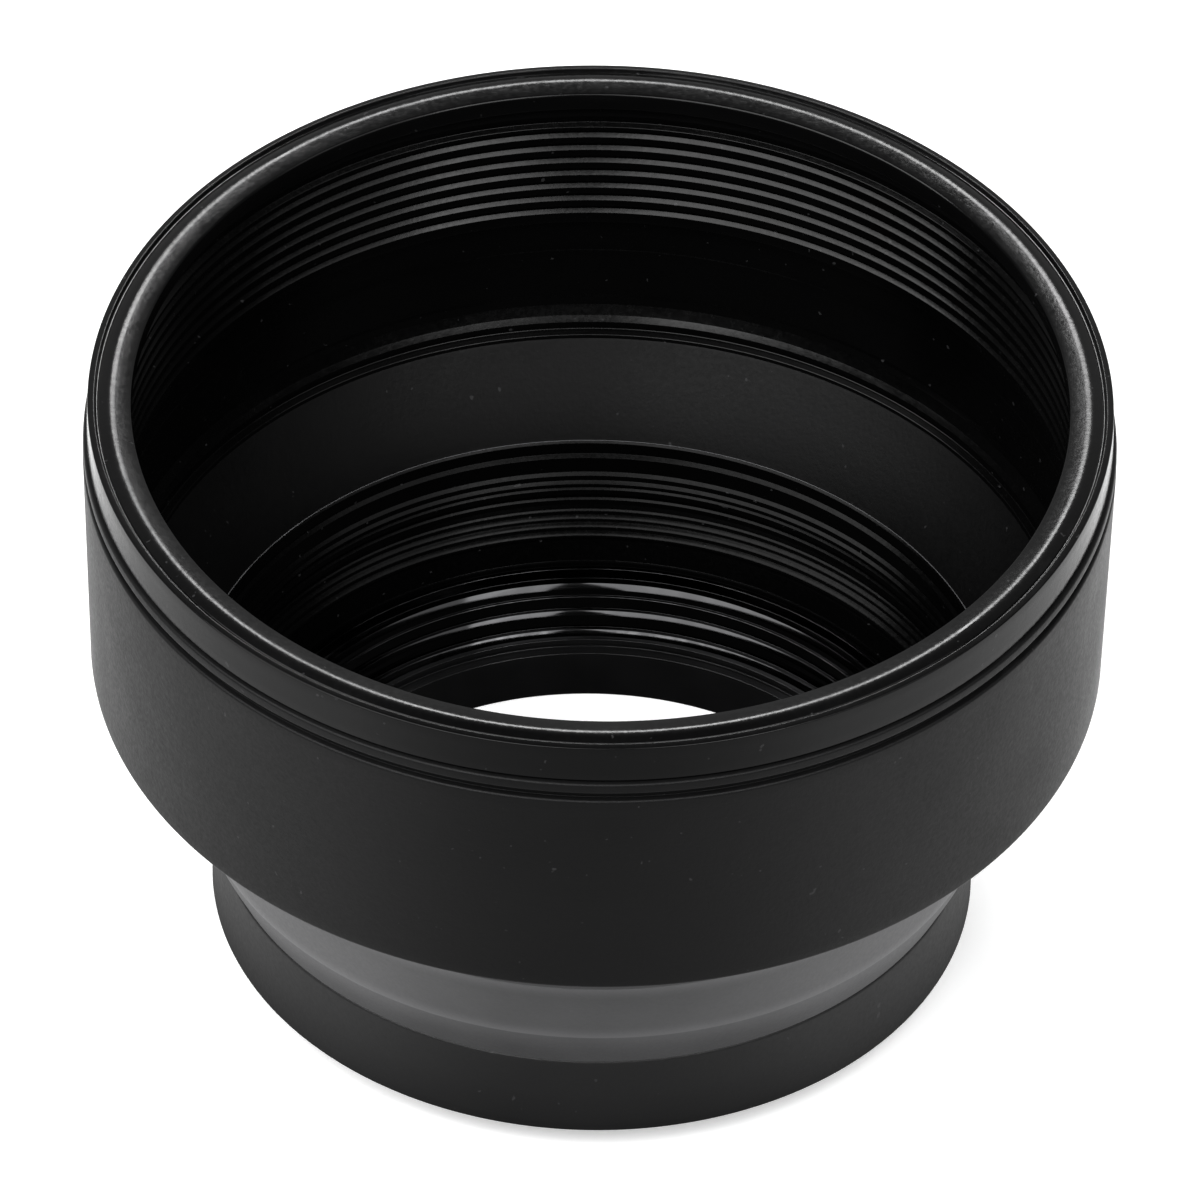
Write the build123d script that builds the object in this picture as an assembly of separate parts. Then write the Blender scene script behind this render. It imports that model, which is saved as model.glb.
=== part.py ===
from build123d import *
import os

# Collapsible rubber lens hood on a screw-in metal ring, standing fully out, in millimetres.
# Origin: centre of the shoulder that seats on the lens. +Z runs along the optical axis to the front opening.
# Every piece is a solid of revolution about Z, drawn as a closed outline of (radius, height) points.

# ---- driving dimensions ----
THREAD_R = 26.0           # M52 x 0.75 male thread, plain cylinder at the major diameter
THREAD_LENGTH = 2.5
THREAD_LEAD_IN = 0.3      # chamfer at the thread's tip
BORE_R = 24.3
RING_WALL_R = 29.2        # outside of the metal wall that the rubber grips
HOOD_LENGTH = 50.4        # from the seat to the front edge, fully out

COLLAR_R = 30.2
COLLAR_TOP = 7.6
LOWER_FOLD_TOP = 11.7
SLEEVE_TOP = 17.9
UPPER_FOLD_TOP = 24.4
RIM_BOTTOM = 46.8         # a thin line round the outside marks off the front rim

FOLD_THICKNESS = 1.0      # measured along the radius
SLEEVE_BORE_R = 30.7      # clears the collar when the sleeve drops over it
BARREL_FOOT_R = 40.0
BARREL_HEAD_R = 40.8
BARREL_BORE_R = 38.3
RIM_R = 40.5
RIM_BEAD_R = 37.0         # inside of the rounded bead at the front edge
RIM_BEAD_ROUNDING = 0.5
RIM_LINE_R = 39.75        # fine groove in the front edge, between the bead and the outer band
GROOVE_BOTTOM = 45.0      # the wide outer groove below the raised band
GROOVE_TOP = 45.7
GROOVE_DEPTH = 0.6

BEAD_BOTTOM = 4.0         # the rubber bead clamped between the two metal rings
BEAD_TOP = 5.8
BEAD_R = 28.2
CLAMP_SEAT = 2.6
CLAMP_SLEEVE_R = 28.0     # outside of the retaining ring where it is pressed in

NECK_GROOVES = 2          # V grooves leave one more crest than their count
NECK_GROOVE_PITCH = 1.05
NECK_GROOVE_DEPTH = 0.3
NECK_CREST_Z = 12.2       # lowest crest
BARREL_GROOVES = 7
BARREL_GROOVE_PITCH = 1.335
BARREL_GROOVE_DEPTH = 0.45
BARREL_CREST_R = 37.85
BARREL_CREST_Z = 36.35    # lowest crest
RECESS_R = 38.6           # plain wall between the ribs and the ledge


def turned(outline, rounding=()):
    """Revolve a closed outline about Z, after rounding the named corners."""
    profile = make_face(Polyline(*outline, close=True))
    for corner, radius in rounding:
        nearest = profile.vertices().sort_by_distance(Vector(*corner))[0]
        profile = fillet(nearest, radius)
    return revolve(Plane.XZ * profile, Axis.Z)


def ribs(crest_r, bottom, pitch, grooves, depth):
    """Points up a bore cut with V grooves, from the lowest crest to the highest."""
    points = [(crest_r, bottom)]
    for i in range(grooves):
        points.append((crest_r + depth, bottom + (i + 0.5) * pitch))
        points.append((crest_r, bottom + (i + 1) * pitch))
    return points


def mount_ring():
    """Male thread, seating shoulder, and the wall inside the rubber collar."""
    throat_r = 25.2
    outline = [
        (BORE_R, -THREAD_LENGTH),
        (THREAD_R - THREAD_LEAD_IN, -THREAD_LENGTH),
        (THREAD_R, THREAD_LEAD_IN - THREAD_LENGTH),
        (THREAD_R, 0),
        (RING_WALL_R, 0),
        (RING_WALL_R, BEAD_BOTTOM),
        (CLAMP_SLEEVE_R, BEAD_BOTTOM),
        (CLAMP_SLEEVE_R, CLAMP_SEAT),
        (throat_r, CLAMP_SEAT),
        (BORE_R, CLAMP_SEAT - 0.7),
    ]
    return turned(outline)


def retaining_ring():
    """Flanged ring pressed into the mount ring, with machined steps down its bore."""
    flange_r = 29.0
    top = 7.3
    chamfer = 0.3
    bore_r = 25.5
    return turned([
        (CLAMP_SLEEVE_R, CLAMP_SEAT),
        (CLAMP_SLEEVE_R, BEAD_TOP),
        (flange_r, BEAD_TOP),
        (flange_r, top - chamfer),
        (flange_r - chamfer, top),
        (28.4, top),
        (28.2, 6.5),
        (27.3, 6.5),
        (27.1, 5.3),
        (26.3, 4.5),
        (26.2, 3.2),
        (bore_r, 3.1),
        (bore_r, CLAMP_SEAT),
    ])


def base_collar():
    """Thick rubber collar, gripping the mount ring and clamped by its inner bead."""
    foot = 0.1
    flange_clearance_r = 29.1
    outline = [
        (RING_WALL_R, foot),
        (COLLAR_R, foot),
        (COLLAR_R, COLLAR_TOP),
        (flange_clearance_r, COLLAR_TOP),
        (flange_clearance_r, BEAD_TOP),
        (BEAD_R, BEAD_TOP),
        (BEAD_R, BEAD_BOTTOM),
        (RING_WALL_R, BEAD_BOTTOM),
    ]
    rounding = [((COLLAR_R, foot), 0.3), ((COLLAR_R, COLLAR_TOP), 0.35)]
    return turned(outline, rounding)


def fold(foot_r, foot, head_r, head):
    """Thin conical web, given by its outer radius at each end."""
    outline = [
        (foot_r - FOLD_THICKNESS, foot),
        (foot_r, foot),
        (head_r, head),
        (head_r - FOLD_THICKNESS, head),
    ]
    return turned(outline)


def mid_sleeve():
    """Stiff neck between the two folds, terraced inside and ribbed at its lower end."""
    outline = [(31.9, LOWER_FOLD_TOP), (33.0, SLEEVE_TOP), (31.9, SLEEVE_TOP), (31.75, 17.75)]
    outline += [(31.7, 16.75), (31.35, 16.55), (31.3, 15.15), (31.0, 14.95), (31.0, 14.5)]
    outline += reversed(ribs(SLEEVE_BORE_R, NECK_CREST_Z, NECK_GROOVE_PITCH, NECK_GROOVES, NECK_GROOVE_DEPTH))
    outline.append((SLEEVE_BORE_R + 0.1, LOWER_FOLD_TOP))
    return turned(outline)


def front_barrel():
    """Wide drum: a raised band and groove outside; a rib band, a plain recess and a ledge inside."""
    fold_r = 36.9
    groove_r = BARREL_HEAD_R - GROOVE_DEPTH
    land_top = 46.0
    undercut = 35.9
    outline = [
        (fold_r, UPPER_FOLD_TOP),
        (BARREL_FOOT_R, UPPER_FOLD_TOP),
        (BARREL_HEAD_R, GROOVE_BOTTOM - 0.1),
        (groove_r, GROOVE_BOTTOM),
        (groove_r, GROOVE_TOP),
        (BARREL_HEAD_R, GROOVE_TOP + 0.1),
        (BARREL_HEAD_R, RIM_BOTTOM - 0.1),
        (BARREL_HEAD_R - 0.3, RIM_BOTTOM),
        (BARREL_BORE_R, RIM_BOTTOM),
        (BARREL_BORE_R, land_top + 0.4),
        (BARREL_CREST_R, land_top),
    ]
    outline += reversed(
        ribs(BARREL_CREST_R, BARREL_CREST_Z, BARREL_GROOVE_PITCH, BARREL_GROOVES, BARREL_GROOVE_DEPTH)
    )
    outline += [
        (BARREL_CREST_R, undercut),
        (RECESS_R, undercut - 0.2),
        (RECESS_R, 32.4),
        (RECESS_R - 0.05, 32.3),
        (RECESS_R - 0.05, 27.6),
        (RECESS_R - 0.2, 27.4),
        (38.5, 27.2),
        (38.5, 26.6),
        (38.05, 25.8),
        (37.65, 25.4),
        (37.6, 24.8),
        (fold_r, 24.6),
    ]
    return turned(outline, [((BARREL_FOOT_R, UPPER_FOLD_TOP), 0.4)])


def front_rim():
    """Front edge: a rounded inner bead and a flat outer band, parted by a fine groove."""
    outline = [
        (BARREL_BORE_R, RIM_BOTTOM),
        (RIM_R - 0.3, RIM_BOTTOM),
        (RIM_R, RIM_BOTTOM + 0.2),
        (RIM_R, HOOD_LENGTH),
        (RIM_LINE_R + 0.2, HOOD_LENGTH),
        (RIM_LINE_R, HOOD_LENGTH - 0.35),
        (RIM_LINE_R - 0.35, HOOD_LENGTH),
        (RIM_BEAD_R, HOOD_LENGTH),
        (RIM_BEAD_R, HOOD_LENGTH - 1.7),
        (BARREL_BORE_R, HOOD_LENGTH - 2.3),
    ]
    return turned(outline, [((RIM_BEAD_R, HOOD_LENGTH), RIM_BEAD_ROUNDING)])


PIECES = {
    "mount_ring": mount_ring(),
    "retaining_ring": retaining_ring(),
    "base_collar": base_collar(),
    "lower_fold": fold(COLLAR_R - 0.1, COLLAR_TOP, 31.8, LOWER_FOLD_TOP),
    "mid_sleeve": mid_sleeve(),
    "upper_fold": fold(32.9, SLEEVE_TOP, 37.9, UPPER_FOLD_TOP),
    "front_barrel": front_barrel(),
    "front_rim": front_rim(),
}

os.makedirs("parts", exist_ok=True)
for name, solid in PIECES.items():
    export_step(solid, f"parts/{name}.step")
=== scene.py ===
"""Collapsible rubber lens hood on a screw-in ring, on a pale floor in soft studio light.

Every piece is a ring about Z. Outlines are (radius, height) in millimetres, worked out from the
CAD boxes of the frame, and the meshes are in metres.
"""

import functools
import math

import bpy
from mathutils import Matrix, Vector

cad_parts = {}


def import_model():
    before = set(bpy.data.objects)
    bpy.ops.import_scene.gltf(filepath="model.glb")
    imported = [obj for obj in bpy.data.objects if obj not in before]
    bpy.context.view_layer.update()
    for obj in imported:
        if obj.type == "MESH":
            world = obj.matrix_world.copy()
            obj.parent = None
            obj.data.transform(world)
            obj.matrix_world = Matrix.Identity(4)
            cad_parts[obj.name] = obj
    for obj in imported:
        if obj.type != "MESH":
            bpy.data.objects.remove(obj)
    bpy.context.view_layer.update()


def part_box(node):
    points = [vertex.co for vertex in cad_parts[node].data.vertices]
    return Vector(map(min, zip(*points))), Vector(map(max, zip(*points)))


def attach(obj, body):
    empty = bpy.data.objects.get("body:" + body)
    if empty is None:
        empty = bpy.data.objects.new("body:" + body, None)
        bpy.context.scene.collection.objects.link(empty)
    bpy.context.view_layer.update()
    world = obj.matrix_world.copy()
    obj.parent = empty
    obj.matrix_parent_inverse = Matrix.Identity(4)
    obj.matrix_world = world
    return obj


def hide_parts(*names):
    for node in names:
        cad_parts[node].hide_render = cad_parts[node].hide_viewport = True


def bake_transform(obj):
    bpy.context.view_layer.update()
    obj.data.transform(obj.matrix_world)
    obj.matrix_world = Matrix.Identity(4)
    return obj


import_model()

MM = 0.001
SEGMENTS = 384            # round each ring
# On most rubber pieces this slot takes a darker copy of the rubber: painted shade inside the hood.
INSIDE = 1                # material slot of the faces that look towards the axis
ARC_STEPS = 5             # along each rounded corner
FINE_STEPS = 3            # along a corner rounded no more than FINE_ROUNDING
FINE_ROUNDING = 0.06      # mm
LONGEST_STEP = 0.9        # of a straight stretch, mm
SHORTEST_STEP = 0.002     # points of an outline nearer than this are joined, mm

THREAD_PITCH = 0.75       # M52 x 0.75
THREAD_DEPTH = 0.46
THREAD_ROWS_PER_PITCH = 14

NECK_CREST_R = 30.7
NECK_CREST_Z = 12.2       # lowest rib crest of the neck
NECK_RIB_PITCH = 1.05
NECK_RIB_DEPTH = 0.18
FOLD_CREST_Z = 9.4        # lowest rib crest inside the lower fold
FOLD_RIB_PITCH = 0.64
BARREL_CREST_R = 37.85
BARREL_CREST_Z = 36.35    # lowest rib crest of the barrel
BARREL_RIB_PITCH = 1.335
BARREL_RIB_DEPTH = 0.3
BARREL_TEETH = 7
NECK_TEETH = 2

RING_WALL_TOP = 4.0       # of the metal wall inside the collar
BEAD_TOP = 5.8            # of the rubber bead between the two metal rings
BEAD_R = 28.2
CLAMP_SLEEVE_R = 28.0     # where one ring is pressed into the other


# ---- sizes read from the frame ----

def foot(node):
    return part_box(node)[0][2] / MM


def top(node):
    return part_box(node)[1][2] / MM


def outer(node):
    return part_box(node)[1][0] / MM


SEAT = 0.0
THREAD_TIP = foot("mount_ring")
THREAD_R = 26.0
RING_R = outer("mount_ring")
CLAMP_SEAT = foot("retaining_ring")
CLAMP_TOP = top("retaining_ring")
CLAMP_R = outer("retaining_ring")
COLLAR_R = outer("base_collar")
COLLAR_TOP = top("base_collar")
SLEEVE_FOOT = foot("mid_sleeve")
SLEEVE_TOP = top("mid_sleeve")
SLEEVE_R = outer("mid_sleeve")
FOLD_TOP = top("upper_fold")
FOLD_R = outer("upper_fold")
BARREL_R = outer("front_barrel")
RIM_FOOT = foot("front_rim")
FRONT = top("front_rim")
RIM_R = outer("front_rim")

FOLD_THICKNESS = 1.0
SLEEVE_FOOT_R = 31.8
SLEEVE_SLOPE = (SLEEVE_R - SLEEVE_FOOT_R) / (SLEEVE_TOP - SLEEVE_FOOT)


# ---- meshes ----

def rounded(corners):
    """Corners as (radius, height, rounding) to the points of a closed outline, with arcs and short steps."""
    points = []
    count = len(corners)
    for i in range(count):
        here = Vector(corners[i][:2])
        size = corners[i][2] if len(corners[i]) > 2 else 0
        if size <= 0:
            points.append(here)
            continue
        before = (Vector(corners[i - 1][:2]) - here).normalized()
        after = (Vector(corners[(i + 1) % count][:2]) - here).normalized()
        half = before.angle(after) / 2
        reach = size / math.tan(half)
        start = here + before * reach
        end = here + after * reach
        centre = here + (before + after).normalized() * (size / math.sin(half))
        steps = ARC_STEPS if size > FINE_ROUNDING else FINE_STEPS
        for k in range(steps + 1):
            chord = start.lerp(end, k / steps)
            points.append(centre + (chord - centre).normalized() * size)
    points = [point for i, point in enumerate(points) if (point - points[i - 1]).length > SHORTEST_STEP]
    stepped = []
    for i, point in enumerate(points):
        following = points[(i + 1) % len(points)]
        pieces = max(1, math.ceil((following - point).length / LONGEST_STEP))
        stepped += [point.lerp(following, k / pieces) for k in range(pieces)]
    return stepped


def ring_mesh(name, rows):
    """A closed ring from the rows of its section; a row is a fixed point or a function of the angle."""
    vertices = []
    for row in rows:
        for j in range(SEGMENTS):
            angle = math.tau * j / SEGMENTS
            radius, height = row(angle) if callable(row) else row
            vertices.append((radius * math.cos(angle) * MM, radius * math.sin(angle) * MM, height * MM))
    faces = []
    for i in range(len(rows)):
        k = (i + 1) % len(rows)
        for j in range(SEGMENTS):
            m = (j + 1) % SEGMENTS
            corner = (i * SEGMENTS + j, i * SEGMENTS + m, k * SEGMENTS + m, k * SEGMENTS + j)
            faces.append(corner)
    section = [row(0) if callable(row) else row for row in rows]
    turn = math.copysign(1, sum_area(section))
    if turn < 0:
        faces = [face[::-1] for face in faces]
    mesh = bpy.data.meshes.new(name)
    mesh.from_pydata(vertices, [], faces)
    for i in range(len(rows)):
        climb = (section[(i + 1) % len(rows)][1] - section[i][1]) * turn
        if climb < -1e-6:
            for polygon in mesh.polygons[i * SEGMENTS:(i + 1) * SEGMENTS]:
                polygon.material_index = INSIDE
    mesh.shade_smooth()
    mesh.set_sharp_from_angle(angle=math.radians(38))
    piece = bpy.data.objects.new(name, mesh)
    bpy.context.scene.collection.objects.link(piece)
    return piece


def sum_area(points):
    total = 0
    for i, (r0, z0) in enumerate(points):
        r1, z1 = points[(i + 1) % len(points)]
        total += r0 * z1 - r1 * z0
    return total / 2


def turned(name, corners):
    return ring_mesh(name, [tuple(point) for point in rounded(corners)])


def ribs(crest, bottom, pitch, teeth, depth, nose=0.08):
    """Corners up a bore cut in sawteeth: a plain land, a slope that faces up, and an undercut to the next."""
    land = 0.42 * pitch
    corners = [(crest, bottom, nose)]
    for i in range(teeth):
        start = bottom + i * pitch
        corners.append((crest, start + land, nose))
        corners.append((crest + depth, start + land + depth, 0.05))
        corners.append((crest, start + pitch, nose))
    return corners


def hermite(r0, z0, slope0, r1, z1, slope1, t):
    """Radius on a smooth curve between two heights, given its slope dr/dz at each end."""
    span = z1 - z0
    a = 2 * t**3 - 3 * t**2 + 1
    b = t**3 - 2 * t**2 + t
    c = 3 * t**2 - 2 * t**3
    d = t**3 - t**2
    return a * r0 + b * slope0 * span + c * r1 + d * slope1 * span


def fold(name, curve, z0, z1, thickness, rows=36, ripple=None):
    """Thin web whose outside follows curve(t); both faces share their heights."""
    outside = []
    inside = []
    for i in range(rows + 1):
        t = i / rows
        height = z0 + (z1 - z0) * t
        radius = curve(t)
        wall = thickness - (ripple(height) if ripple else 0)
        outside.append((radius, height))
        inside.append((radius - wall, height))
    return ring_mesh(name, outside + inside[::-1])


# ---- materials ----

class Nodes:
    """Short ways to build a node material."""

    def __init__(self, name):
        self.material = bpy.data.materials.new(name)
        self.material.use_nodes = True
        self.tree = self.material.node_tree
        self.surface = self.tree.nodes["Principled BSDF"]
        self.place = self.new("ShaderNodeTexCoord").outputs["Object"]

    def new(self, kind, **settings):
        node = self.tree.nodes.new(kind)
        for key, value in settings.items():
            setattr(node, key, value)
        return node

    def feed(self, socket, value):
        if isinstance(value, bpy.types.NodeSocket):
            self.tree.links.new(value, socket)
        else:
            socket.default_value = value

    def noise(self, scale, detail=3.0, roughness=0.5, place=None):
        node = self.new("ShaderNodeTexNoise")
        self.feed(node.inputs["Vector"], place or self.place)
        self.feed(node.inputs["Scale"], scale)
        self.feed(node.inputs["Detail"], detail)
        self.feed(node.inputs["Roughness"], roughness)
        return node.outputs["Fac"]

    def maths(self, operation, *values, clamp=False):
        node = self.new("ShaderNodeMath", operation=operation, use_clamp=clamp)
        for socket, value in zip(node.inputs, values):
            self.feed(socket, value)
        return node.outputs[0]

    def spread(self, value, low, high, to_low, to_high):
        node = self.new("ShaderNodeMapRange")
        for socket, number in zip(node.inputs, (value, low, high, to_low, to_high)):
            self.feed(socket, number)
        return node.outputs["Result"]

    def mix(self, share, first, second):
        node = self.new("ShaderNodeMix", data_type="RGBA")
        sockets = {socket.identifier: socket for socket in node.inputs}
        self.feed(sockets["Factor_Float"], share)
        self.feed(sockets["A_Color"], first)
        self.feed(sockets["B_Color"], second)
        return next(socket for socket in node.outputs if socket.identifier == "Result_Color")

    def scaled(self, colour, share):
        node = self.new("ShaderNodeVectorMath", operation="SCALE")
        self.feed(node.inputs[0], colour[:3] if isinstance(colour, tuple) else colour)
        self.feed(node.inputs["Scale"], share)
        return node.outputs[0]

    def round_radius(self):
        """Distance from the optical axis."""
        flat = self.new("ShaderNodeVectorMath", operation="MULTIPLY")
        self.feed(flat.inputs[0], self.place)
        flat.inputs[1].default_value = (1, 1, 0)
        length = self.new("ShaderNodeVectorMath", operation="LENGTH")
        self.feed(length.inputs[0], flat.outputs[0])
        return length.outputs["Value"]

    def height(self):
        node = self.new("ShaderNodeSeparateXYZ")
        self.feed(node.inputs[0], self.place)
        return node.outputs["Z"]

    def scaled_height(self, scale):
        """A place that changes only along the axis and from ring to ring, for turned lines."""
        joined = self.new("ShaderNodeCombineXYZ")
        self.feed(joined.inputs["X"], self.maths("MULTIPLY", self.round_radius(), scale))
        self.feed(joined.inputs["Z"], self.maths("MULTIPLY", self.height(), scale))
        return joined.outputs[0]

    def edges(self):
        """1 on outward edges and 0 elsewhere."""
        pointiness = self.new("ShaderNodeNewGeometry").outputs["Pointiness"]
        return self.spread(pointiness, 0.51, 0.58, 0.0, 1.0)

    def bump(self, height, strength, distance, after=None):
        node = self.new("ShaderNodeBump")
        self.feed(node.inputs["Strength"], strength)
        self.feed(node.inputs["Distance"], distance)
        self.feed(node.inputs["Height"], height)
        if after is not None:
            self.feed(node.inputs["Normal"], after)
        return node.outputs["Normal"]


def grey(value):
    return (value, value, value * 1.03, 1)


def rubber(name, tone, roughness, shine, grain=1.0):
    """Satin black moulded rubber: fine grain, faint mould lines, dull bloom and a little dust."""
    n = Nodes(name)
    bloom = n.noise(55, 4, 0.6)
    mottled = n.spread(bloom, 0.3, 0.7, 0.82, 1.22)
    fine = n.noise(2600, 3, 0.6)
    specks = n.spread(n.noise(1500, 1, 0.4), 0.76, 0.80, 0.0, 1.0)
    # Outward edges lighter and glossier: partly rubbed wear, partly a painted highlight on crests and ribs.
    worn = n.edges()
    colour = n.scaled(grey(tone), mottled)
    colour = n.mix(n.maths("MULTIPLY", worn, 0.5), colour, grey(tone * 2.6))
    colour = n.mix(n.maths("MULTIPLY", specks, 0.12), colour, grey(0.16))
    n.feed(n.surface.inputs["Base Color"], colour)
    dull = n.spread(fine, 0.3, 0.7, roughness - 0.05, roughness + 0.05)
    dull = n.maths("ADD", dull, n.spread(bloom, 0.3, 0.7, -0.05, 0.05))
    dull = n.maths("ADD", dull, n.maths("MULTIPLY", worn, -0.08), clamp=True)
    n.feed(n.surface.inputs["Roughness"], dull)
    n.feed(n.surface.inputs["Specular IOR Level"], shine)
    turning = n.noise(1, 2, 0.5, place=n.scaled_height(1400))
    normal = n.bump(turning, 0.10, 0.00004)
    normal = n.bump(n.noise(420, 2, 0.5), 0.12, 0.00012, normal)
    normal = n.bump(fine, 0.32 * grain, 0.00005, normal)
    n.feed(n.surface.inputs["Normal"], normal)
    return n.material


@functools.cache
def neck_outside_lit_rubber():
    """Outside of the neck and its folds, many times lighter than the other rubber: painted light standing in
    for the white floor's reflection on the neck.
    """
    return rubber("rubber_neck_outside_painted_light", 0.075, 0.48, 0.50)


@functools.cache
def hood_inside_shaded_rubber():
    """Inside of the barrel and the collar: a blacker copy of the rubber, painted shade inside the hood, and
    glossier than the outside.
    """
    return rubber("rubber_painted_shade_inside", 0.0008, 0.24, 0.19, 0.4)


@functools.cache
def neck_inside_shaded_rubber():
    """Inside of the neck and the lower fold, the blackest copy of the rubber: painted shade deep in the neck.
    """
    return rubber("rubber_neck_painted_shade", 0.0006, 0.24, 0.07, 0.4)


@functools.cache
def shoulder_inside_shaded_rubber():
    """Inside of the upper fold, duller than the walls and far darker than the fold's outside: painted shade
    inside the hood.
    """
    return rubber("rubber_painted_shade_shoulder", 0.0012, 0.46, 0.10)


def anodised(name, tone, roughness, metallic, wear):
    """Black anodised aluminium, turned: fine rings of tool marks and bare metal on the sharpest edges."""
    n = Nodes(name)
    marks = n.noise(1, 3, 0.6, place=n.scaled_height(9000))
    cloud = n.noise(240, 3, 0.5)
    worn = n.maths("MULTIPLY", n.edges(), n.spread(n.noise(900, 3, 0.6), 0.42, 0.62, 0.0, 1.0))
    colour = n.scaled(grey(tone), n.spread(cloud, 0.3, 0.7, 0.85, 1.2))
    colour = n.mix(n.maths("MULTIPLY", worn, wear), colour, (0.42, 0.42, 0.43, 1))
    n.feed(n.surface.inputs["Base Color"], colour)
    n.feed(n.surface.inputs["Metallic"], metallic)
    n.feed(n.surface.inputs["Roughness"], n.spread(marks, 0.3, 0.7, roughness - 0.03, roughness + 0.05))
    normal = n.bump(marks, 0.12, 0.00001)
    n.feed(n.surface.inputs["Normal"], normal)
    return n.material


# ---- pieces ----

def dress(piece, outside, inside, body, node):
    piece.data.materials.append(outside)
    piece.data.materials.append(inside)
    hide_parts(node)
    if body:
        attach(piece, body)
    return piece


def thread_rows():
    """A helical thread up the spigot, with a lead-in at the tip and a relief at the shoulder."""
    relief = 0.35
    lead_in = 0.35
    top_of_thread = SEAT - relief
    count = round((top_of_thread - THREAD_TIP) / THREAD_PITCH * THREAD_ROWS_PER_PITCH)
    rows = []

    def row(height):
        tip = min(1.0, (height - THREAD_TIP) / lead_in)
        runout = min(1.0, (top_of_thread - height) / 0.2)

        def point(angle):
            phase = (height / THREAD_PITCH - angle / math.tau) % 1.0
            wave = abs(2 * phase - 1)
            crest = min(1.0, max(0.0, 1.25 * wave - 0.1))
            radius = THREAD_R - THREAD_DEPTH * (1 - crest)
            ceiling = THREAD_R - THREAD_DEPTH * (1 - tip) - THREAD_DEPTH * 0.9 * (1 - runout)
            return min(radius, ceiling), height

        return point

    for i in range(count + 1):
        rows.append(row(THREAD_TIP + (top_of_thread - THREAD_TIP) * i / count))
    return rows


def mount_ring():
    throat = 25.2
    bore = 24.3
    lower = rounded([
        (throat, CLAMP_SEAT, 0.03),
        (throat - 0.05, CLAMP_SEAT - 0.65, 0.03),
        (bore, CLAMP_SEAT - 0.7, 0.03),
        (bore, THREAD_TIP, 0.15),
        (THREAD_R - THREAD_DEPTH, THREAD_TIP),
        (THREAD_R - THREAD_DEPTH, SEAT),
        (RING_R, SEAT, 0.12),
        (RING_R, RING_WALL_TOP),
        (CLAMP_SLEEVE_R, RING_WALL_TOP),
        (CLAMP_SLEEVE_R, CLAMP_SEAT),
    ])
    rows = []
    for point in lower:
        on_spigot = abs(point.x - (THREAD_R - THREAD_DEPTH)) < 1e-6
        if on_spigot and THREAD_TIP + 1e-6 < point.y < SEAT - 1e-6:
            continue
        rows.append(tuple(point))
        if on_spigot and abs(point.y - THREAD_TIP) < 1e-6:
            rows += thread_rows()[1:]
    piece = ring_mesh("mount_ring_turned", rows)
    metal = anodised("ring_anodised", 0.030, 0.10, metallic=0.85, wear=0.1)
    return dress(piece, metal, metal, "base", "mount_ring")


def retaining_ring():
    piece = turned("retaining_ring_turned", [
        (CLAMP_SLEEVE_R, CLAMP_SEAT),
        (CLAMP_SLEEVE_R, BEAD_TOP),
        (CLAMP_R, BEAD_TOP, 0.05),
        (CLAMP_R, CLAMP_TOP, 0.22),
        (28.4, CLAMP_TOP, 0.03),
        (28.2, 6.5, 0.03),
        (27.6, 6.5, 0.02),
        (27.25, 6.11, 0.02),
        (27.25, 5.55, 0.03),
        (27.05, 5.5, 0.06),
        (26.95, 4.4, 0.03),
        (26.65, 4.42, 0.02),
        (26.38, 4.12, 0.02),
        (26.3, 3.0, 0.03),
        (25.95, 3.02, 0.02),
        (25.62, CLAMP_SEAT + 0.05, 0.01),
        (25.6, CLAMP_SEAT),
    ])
    metal = anodised("clamp_anodised", 0.026, 0.08, metallic=1.0, wear=0.3)
    return dress(piece, metal, metal, "base", "retaining_ring")


def base_collar():
    low = foot("base_collar")
    piece = turned("collar_rubber", [
        (RING_R, low, 0.15),
        (COLLAR_R - 0.05, low, 0.30),
        (COLLAR_R, 3.8, 6.0),
        (COLLAR_R - 0.03, COLLAR_TOP, 0.35),
        (29.1, COLLAR_TOP, 0.05),
        (29.1, BEAD_TOP),
        (BEAD_R, BEAD_TOP),
        (BEAD_R, RING_WALL_TOP),
        (RING_R, RING_WALL_TOP),
    ])
    outside = rubber("rubber_collar", 0.007, 0.48, 0.28)
    return dress(piece, outside, hood_inside_shaded_rubber(), "base", "base_collar")


def lower_fold():
    rib_depth = 0.28
    rib_end = 9.06        # plain wall below this

    def outside(t):
        return hermite(COLLAR_R - 0.1, COLLAR_TOP, 0.45, SLEEVE_FOOT_R, SLEEVE_FOOT, SLEEVE_SLOPE, t)

    def ripple(height):
        if height < rib_end:
            return 0
        turns = (height - FOLD_CREST_Z) / FOLD_RIB_PITCH
        return rib_depth * (1 - abs(math.cos(math.pi * turns)))

    piece = fold("lower_fold_web", outside, COLLAR_TOP, SLEEVE_FOOT, FOLD_THICKNESS, 80, ripple)
    dress(piece, neck_outside_lit_rubber(), neck_inside_shaded_rubber(), None, "lower_fold")
    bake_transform(piece)
    return piece


def mid_sleeve():
    corners = [
        (SLEEVE_FOOT_R, SLEEVE_FOOT),
        (SLEEVE_R, SLEEVE_TOP),
        (31.9, SLEEVE_TOP, 0.05),
        (31.75, 17.75, 0.04),
        (31.70, 16.75, 0.05),
        (31.35, 16.55, 0.04),
        (31.30, 15.15, 0.05),
        (31.0, 14.95, 0.06),
        (31.0, 14.5, 0.05),
    ]
    corners += ribs(NECK_CREST_R, NECK_CREST_Z, NECK_RIB_PITCH, NECK_TEETH, NECK_RIB_DEPTH)[::-1]
    corners.append((SLEEVE_FOOT_R - FOLD_THICKNESS, SLEEVE_FOOT))
    piece = turned("sleeve_rubber", corners)
    return dress(piece, neck_outside_lit_rubber(), neck_inside_shaded_rubber(), "neck", "mid_sleeve")


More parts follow.
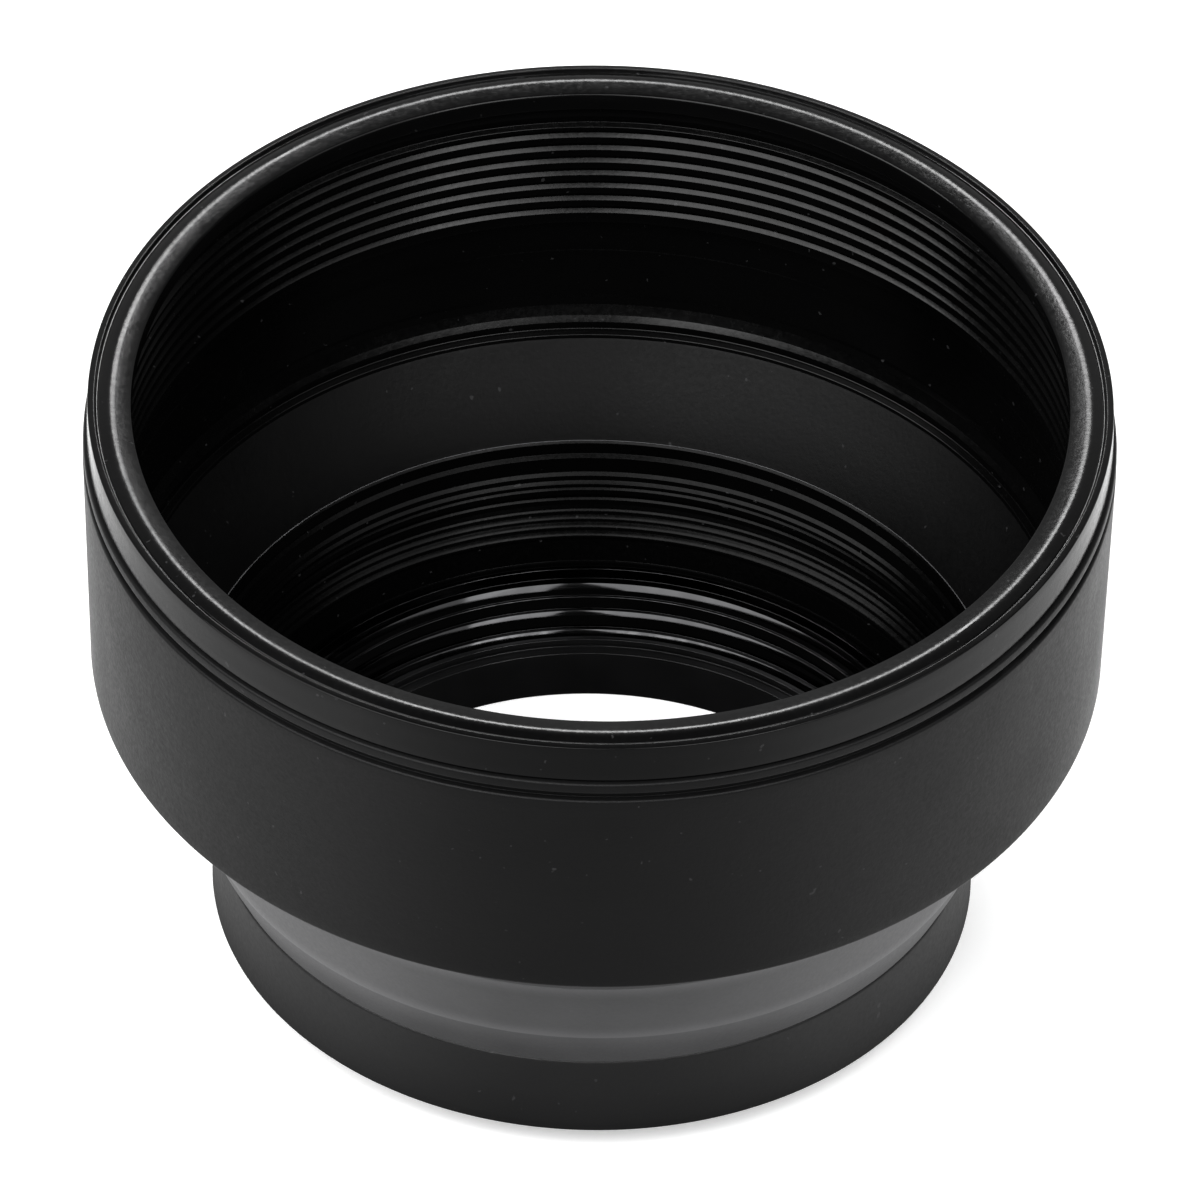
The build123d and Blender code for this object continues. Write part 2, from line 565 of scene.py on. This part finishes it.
def upper_fold():
    def outside(t):
        return hermite(SLEEVE_R, SLEEVE_TOP, 0.6, FOLD_R, FOLD_TOP, 0.8, t)

    piece = fold("upper_fold_web", outside, SLEEVE_TOP, FOLD_TOP, FOLD_THICKNESS)
    dress(piece, neck_outside_lit_rubber(), shoulder_inside_shaded_rubber(), None, "upper_fold")
    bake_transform(piece)
    return piece


def front_barrel():
    foot_r = 40.0
    groove_r = BARREL_R - 0.6
    groove_foot = 45.0
    groove_top = 45.7
    bore = 38.3
    land_top = 46.0
    undercut = 35.9
    recess = 38.6
    fold_inside = FOLD_R - FOLD_THICKNESS
    corners = [
        (fold_inside, FOLD_TOP),
        (FOLD_R, FOLD_TOP),
        (foot_r, FOLD_TOP, 0.4),
        (BARREL_R, groove_foot - 0.05, 0.25),
        (groove_r, groove_foot, 0.06),
        (groove_r, groove_top, 0.06),
        (BARREL_R, groove_top + 0.05, 0.25),
        (BARREL_R, RIM_FOOT - 0.1, 0.25),
        (BARREL_R - 0.55, RIM_FOOT - 0.05, 0.05),
        (BARREL_R - 0.6, RIM_FOOT),
        (bore, RIM_FOOT),
        (bore, land_top + 0.2, 0.05),
        (BARREL_CREST_R, land_top, 0.08),
    ]
    corners += ribs(BARREL_CREST_R, BARREL_CREST_Z, BARREL_RIB_PITCH, BARREL_TEETH, BARREL_RIB_DEPTH)[::-1]
    corners += [
        (BARREL_CREST_R, undercut, 0.1),
        (recess, undercut - 0.2, 0.1),
        (recess, 32.4, 0.03),
        (recess - 0.05, 32.3, 0.03),
        (recess - 0.05, 27.65, 0.03),
        (recess - 0.14, 27.4, 0.04),
        (recess - 0.1, 26.65, 0.08),
        (38.05, 25.85, 0.1),
        (37.7, 25.4, 0.12),
        (37.65, 24.8, 0.1),
        (fold_inside + 0.1, 24.7, 0.1),
    ]
    piece = turned("barrel_rubber", corners)
    outside = rubber("rubber_barrel", 0.004, 0.46, 0.13)
    return dress(piece, outside, hood_inside_shaded_rubber(), "drum", "front_barrel")


def front_rim():
    bore = 38.3
    bead = 37.0
    crest = 38.75
    line = 39.75          # fine groove between the crowned bead and the outer band
    piece = turned("rim_rubber", [
        (bore, RIM_FOOT),
        (BARREL_R - 0.6, RIM_FOOT, 0.03),
        (RIM_R, RIM_FOOT + 0.15, 0.12),
        (RIM_R, FRONT - 0.12, 0.12),
        (line + 0.2, FRONT, 0.1),
        (line, FRONT - 0.4, 0.05),
        (line - 0.1, FRONT - 0.25, 0.2),
        (crest, FRONT + 0.08, 1.8),
        (bead, FRONT - 0.22, 0.25),
        (bead, FRONT - 1.75, 0.2),
        (bore, FRONT - 2.3, 0.2),
    ])
    outside = rubber("rubber_rim", 0.002, 0.18, 0.16, 0.5)
    return dress(piece, outside, outside, "drum", "front_rim")


# ---- studio ----

def floor():
    """White to the camera. In reflections the floor glows as painted light, dim in front and brighter
    elsewhere, with painted shade under the hole.
    """
    side = 6.0
    mesh = bpy.data.meshes.new("floor")
    z = THREAD_TIP * MM
    half = side / 2
    corners = [(-half, -half, z), (half, -half, z), (half, half, z), (-half, half, z)]
    mesh.from_pydata(corners, [], [(0, 1, 2, 3)])
    plane = bpy.data.objects.new("floor", mesh)
    bpy.context.scene.collection.objects.link(plane)
    n = Nodes("pale_floor")
    n.feed(n.surface.inputs["Base Color"], (0.82, 0.82, 0.82, 1))
    n.feed(n.surface.inputs["Roughness"], 0.9)
    n.feed(n.surface.inputs["Specular IOR Level"], 0.1)
    n.feed(n.surface.inputs["Emission Color"], (1, 1, 1, 1))
    n.feed(n.surface.inputs["Emission Strength"], 0.45)
    across = n.new("ShaderNodeSeparateXYZ")
    n.feed(across.inputs[0], n.place)
    away = n.round_radius()
    towards_back = n.maths("DIVIDE", across.outputs["Y"], away)
    # Painted light: the floor's glow in reflections, dimmer straight in front and brighter towards the back.
    reflected = n.maths(
        "ADD",
        n.spread(towards_back, -1.0, -0.7, 0.60, 1.35),
        n.spread(towards_back, 0.2, 0.9, 0.0, 1.0),
    )
    # Painted shade: under the hood's hole the floor glows at a fiftieth of its strength in reflections.
    painted_shade_under_hole = n.spread(away, RING_R * MM, BARREL_R * MM, 0.02, 1.0)
    dim = n.new("ShaderNodeEmission")
    n.feed(dim.inputs["Strength"], n.maths("MULTIPLY", reflected, painted_shade_under_hole))
    seen = n.new("ShaderNodeMixShader")
    n.feed(seen.inputs[0], n.new("ShaderNodeLightPath").outputs["Is Camera Ray"])
    n.feed(seen.inputs[1], dim.outputs[0])
    n.feed(seen.inputs[2], n.surface.outputs[0])
    n.feed(n.tree.nodes["Material Output"].inputs["Surface"], seen.outputs[0])
    mesh.materials.append(n.material)


def softbox(name, azimuth, elevation, distance, width, depth, power):
    """Rectangular light aimed at the hood: degrees to the right of the camera's side and up, m and W."""
    turn = math.radians(azimuth)
    tilt = math.radians(elevation)
    away = Vector((math.sin(turn) * math.cos(tilt), -math.cos(turn) * math.cos(tilt), math.sin(tilt)))
    data = bpy.data.lights.new(name, "AREA")
    data.shape = "RECTANGLE"
    data.size = width
    data.size_y = depth
    data.energy = power
    light = bpy.data.objects.new(name, data)
    light.location = Vector((0, 0, FRONT / 2 * MM)) + away * distance
    light.rotation_mode = "QUATERNION"
    light.rotation_quaternion = away.to_track_quat("Z", "Y")
    light.visible_camera = False
    bpy.context.scene.collection.objects.link(light)


def world():
    """White to the camera; to the object, dim but for a bright wall behind it."""
    made = bpy.data.worlds.new("studio")
    bpy.context.scene.world = made
    made.use_nodes = True
    tree = made.node_tree

    def ramp(source, low, high, to_low, to_high):
        node = tree.nodes.new("ShaderNodeMapRange")
        tree.links.new(source, node.inputs["Value"])
        for key, number in (("From Min", low), ("From Max", high), ("To Min", to_low)):
            node.inputs[key].default_value = number
        if isinstance(to_high, bpy.types.NodeSocket):
            tree.links.new(to_high, node.inputs["To Max"])
        else:
            node.inputs["To Max"].default_value = to_high
        return node

    lit = tree.nodes["Background"]
    lit.inputs["Color"].default_value = (1, 1, 1, 1)
    direction = tree.nodes.new("ShaderNodeSeparateXYZ")
    tree.links.new(tree.nodes.new("ShaderNodeTexCoord").outputs["Generated"], direction.inputs[0])
    wall = ramp(direction.outputs["Y"], 0.25, 0.75, 0.05, 0.6)
    seen = tree.nodes.new("ShaderNodeLightPath").outputs["Is Camera Ray"]
    strength = ramp(seen, 0, 1, 0, 1.0)
    tree.links.new(wall.outputs["Result"], strength.inputs["To Min"])
    tree.links.new(strength.outputs["Result"], lit.inputs["Strength"])


def camera():
    """Far off and long, so that the view is almost parallel, looking down onto the front opening."""
    elevation = math.radians(42.0)
    roll = math.radians(1.1)
    radii_away = 100
    distance = radii_away * RIM_R * MM
    rim_share = 0.428     # of the frame's width, taken by the rim's radius
    data = bpy.data.cameras.new("camera")
    data.sensor_width = 36
    data.lens = data.sensor_width * rim_share * radii_away
    back = Vector((0, -math.cos(elevation), math.sin(elevation)))
    right = Vector((1, 0, 0))
    up = back.cross(right)
    turn = Matrix.Rotation(roll, 3, back)
    right = turn @ right
    up = turn @ up
    rim_centre = Vector((0, 0, FRONT * MM))
    aim = rim_centre - right * 0.05 * MM - up * 15.5 * MM
    made = bpy.data.objects.new("camera", data)
    axes = Matrix((right, up, back)).transposed()
    made.matrix_world = Matrix.Translation(aim + back * distance) @ axes.to_4x4()
    data.clip_end = 10
    bpy.context.scene.collection.objects.link(made)
    bpy.context.scene.camera = made


def studio():
    floor()
    world()
    softbox("key", -50, 50, 0.9, 1.15, 0.6, 13.3)
    softbox("fill", 30, 50, 0.9, 0.36, 0.5, 3.4)
    softbox("side", 60, 50, 0.9, 0.66, 0.5, 1.9)
    softbox("back", 180, 46, 0.9, 0.22, 0.14, 2.9)
    camera()


bpy.context.scene.view_settings.view_transform = "Standard"
metal_pieces = (mount_ring, retaining_ring)
rubber_pieces = (base_collar, lower_fold, mid_sleeve, upper_fold, front_barrel, front_rim)
for build in metal_pieces + rubber_pieces:
    build()
studio()
